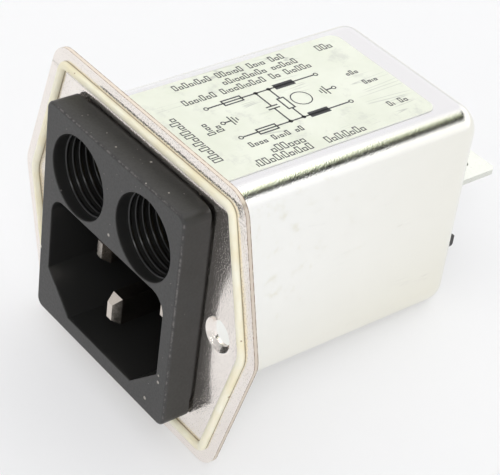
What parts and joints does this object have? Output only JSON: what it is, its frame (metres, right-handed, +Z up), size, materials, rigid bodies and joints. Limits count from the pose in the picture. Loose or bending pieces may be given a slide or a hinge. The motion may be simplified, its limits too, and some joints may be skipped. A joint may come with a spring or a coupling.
{
  "type": "mains inlet line filter",
  "caption": "Panel-mounted mains inlet with a line filter in a metal can, screw-cap fuse sockets above the inlet cavity, a flange with a sealing bead and push-on tabs at the rear.",
  "frame": {"origin": "on the front face of the flange, midway between the two screw holes", "axes": "+Z up towards the fuse sockets, -Y out of the panel, +X to the right seen from the front"},
  "size_m": [0.0494, 0.0579, 0.0416],
  "materials": {
    "tin_plate": "satin",
    "seal_silicone": "satin",
    "black_moulding": "matte",
    "nickel_plate": "polished",
    "contact_brass": "satin",
    "tinned_tab": "satin",
    "label_film": "satin",
    "board_laminate": "satin",
    "capacitor_case": "satin",
    "resistor_body": "satin",
    "ferrite": "matte",
    "enamelled_wire": "gloss",
    "divider_card": "matte"
  },
  "bodies": {
    "root": {"can": "tin_plate", "seal_bead": "seal_silicone", "front_housing": "black_moulding", "terminal_plate": "black_moulding", "line_pin": "nickel_plate", "neutral_pin": "nickel_plate", "earth_pin": "nickel_plate", "line_fuse_end_contact": "contact_brass", "neutral_fuse_end_contact": "contact_brass", "line_fuse_side_contact": "contact_brass", "neutral_fuse_side_contact": "contact_brass", "line_fuse_link": "contact_brass", "neutral_fuse_link": "contact_brass", "earth_strap": "contact_brass", "line_tab": "tinned_tab", "neutral_tab": "tinned_tab", "earth_tab": "tinned_tab", "rating_label": "label_film", "circuit_board": "board_laminate", "x_capacitor": "capacitor_case", "bleeder_resistor": "resistor_body", "choke_core": "ferrite", "line_winding": "enamelled_wire", "neutral_winding": "enamelled_wire", "choke_divider": "divider_card"}
  },
  "joints": []
}
